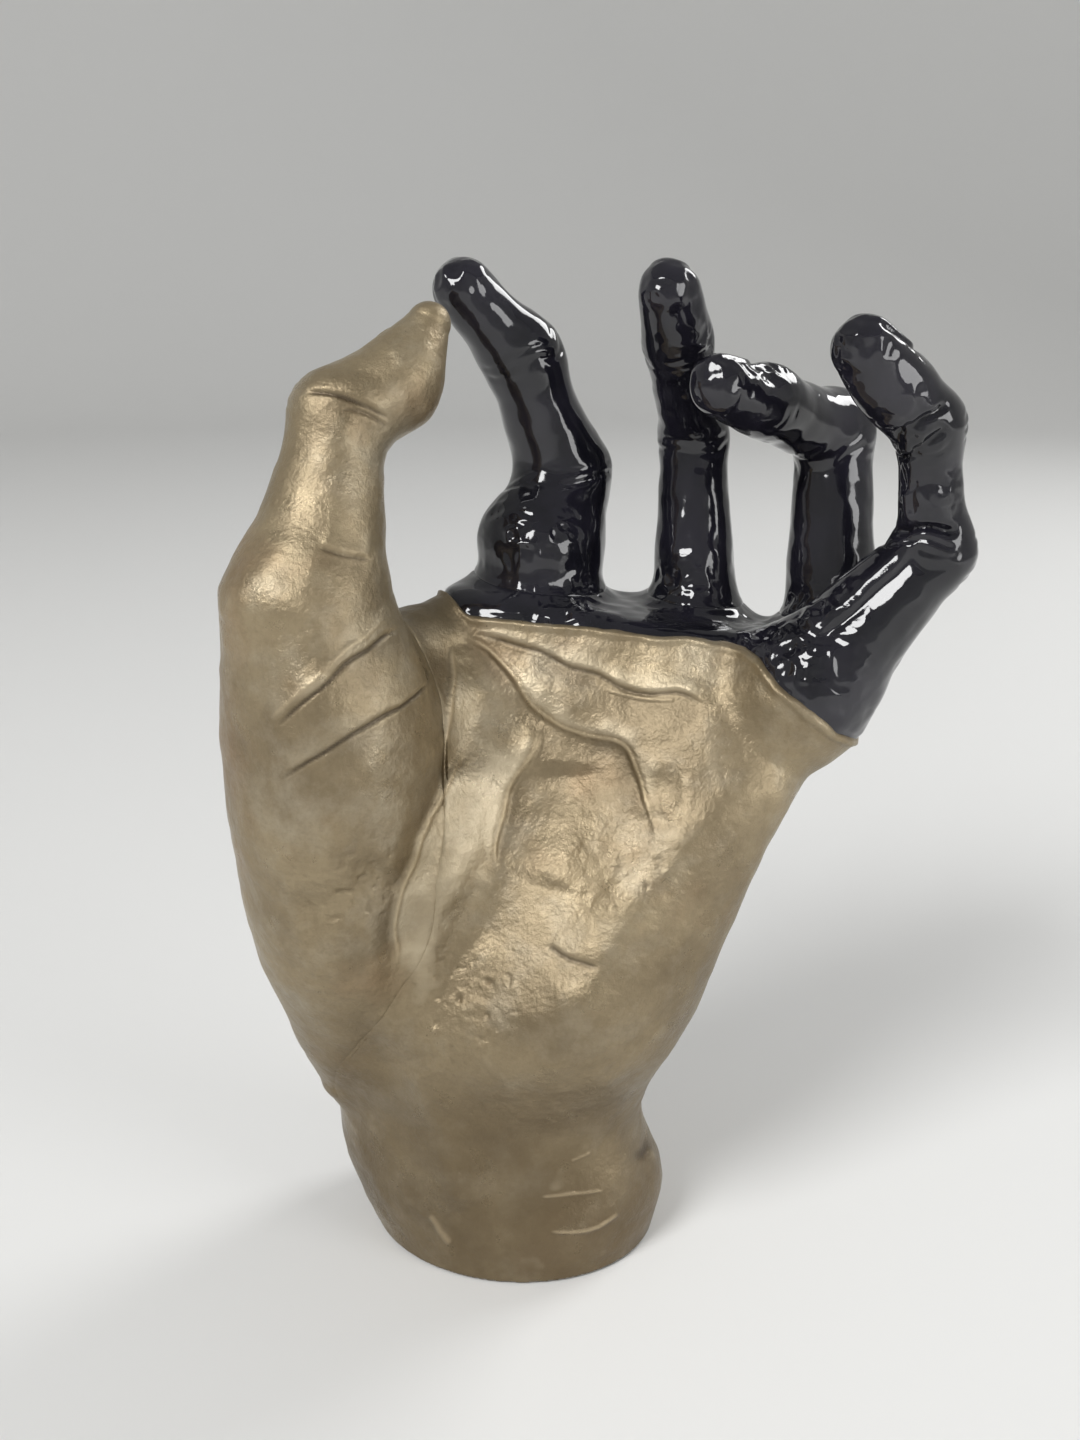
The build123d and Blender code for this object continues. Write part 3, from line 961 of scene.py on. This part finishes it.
def dress_frame():
    """Materials for the frame's own pieces that stay: dowels, plug and felt."""
    finishes = {
        "dowel_steel": fine_material(
            "dowel_steel", (0.5, 0.5, 0.52), (0.62, 0.62, 0.64),
            size_mm=0.8, roughness=0.35, metallic=1.0, depth_mm=0.02,
        ),
        "plug_rubber": fine_material(
            "plug_rubber", (0.025, 0.025, 0.025), (0.05, 0.05, 0.05),
            size_mm=1.5, roughness=0.7, metallic=0.0, depth_mm=0.03,
        ),
        "base_felt": fine_material(
            "base_felt", (0.02, 0.035, 0.028), (0.05, 0.07, 0.06),
            size_mm=0.7, roughness=0.95, metallic=0.0, depth_mm=0.3,
        ),
    }
    for subpart in frame["record"]["subparts"]:
        if subpart["material_slot"] in finishes:
            materials = frame["nodes"][subpart["node"]].data.materials
            materials.clear()
            materials.append(finishes[subpart["material_slot"]])


def build_hand():
    """The skin of every piece, in place of that piece of the frame."""
    bronze = bronze_material()
    black = black_material()
    for name, (corners, quads) in mesh_pieces().items():
        piece = skin_piece(name, corners, quads)
        piece.data.materials.append(bronze if name in BRONZE_PIECES else black)
        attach(piece, "root")
        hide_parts(name)


def add_camera():
    """The photograph's camera."""
    camera = bpy.data.cameras.new("camera")
    camera.lens = LENS_MM
    camera.sensor_width = SENSOR_MM
    holder = bpy.data.objects.new("camera", camera)
    holder.location = CAMERA_PLACE * MM
    holder.rotation_euler = (pi / 2 - CAMERA_PITCH, 0, 0)
    bpy.context.scene.collection.objects.link(holder)
    bpy.context.scene.camera = holder


def add_lamp(name, place, size, power):
    """A round, soft lamp that points at the hand."""
    light = bpy.data.lights.new(name, "AREA")
    light.shape = "DISK"
    light.size = size
    light.energy = power
    holder = bpy.data.objects.new(name, light)
    holder.location = place
    aim = LAMP_AIM - Vector(place)
    holder.rotation_euler = aim.to_track_quat("-Z", "Y").to_euler()
    bpy.context.scene.collection.objects.link(holder)


def sweep_mesh():
    """A round floor that curves up into a wall on every side."""
    rings = [(SWEEP_START, 0.0)]
    for step in range(1, SWEEP_STEPS + 1):
        turn = pi / 2 * step / SWEEP_STEPS
        rings.append((SWEEP_START + SWEEP_RADIUS * sin(turn), SWEEP_RADIUS * (1 - cos(turn))))
    rings.append((SWEEP_START + SWEEP_RADIUS, SWEEP_HEIGHT))
    turns = [2 * pi * side / SWEEP_SIDES for side in range(SWEEP_SIDES)]
    corners = [(radius * cos(turn), radius * sin(turn), z) for radius, z in rings for turn in turns]
    faces = [tuple(range(SWEEP_SIDES))]
    for first in range(0, len(corners) - SWEEP_SIDES, SWEEP_SIDES):
        for side in range(SWEEP_SIDES):
            near = first + side
            far = first + (side + 1) % SWEEP_SIDES
            faces.append((near, near + SWEEP_SIDES, far + SWEEP_SIDES, far))
    mesh = bpy.data.meshes.new("floor")
    mesh.from_pydata(corners, [], faces)
    mesh.shade_smooth()
    return mesh


def add_stage():
    """The paper sweep, an even pale world and the lamps: key from the front left, rim and side."""
    floor = bpy.data.objects.new("floor", sweep_mesh())
    bpy.context.scene.collection.objects.link(floor)
    paper = Nodes("floor_paper")
    paper.shader.inputs["Base Color"].default_value = PAPER_COLOUR
    paper.shader.inputs["Roughness"].default_value = 0.9
    floor.data.materials.append(paper.material)
    world = bpy.data.worlds.new("studio")
    world.use_nodes = True
    background = world.node_tree.nodes["Background"]
    background.inputs["Color"].default_value = WORLD_COLOUR
    background.inputs["Strength"].default_value = WORLD_STRENGTH
    bpy.context.scene.world = world
    for name, (place, size, power) in LAMPS.items():
        add_lamp(name, place, size, power)
    bpy.context.scene.view_settings.view_transform = "Standard"


build_hand()
dress_frame()
add_camera()
add_stage()
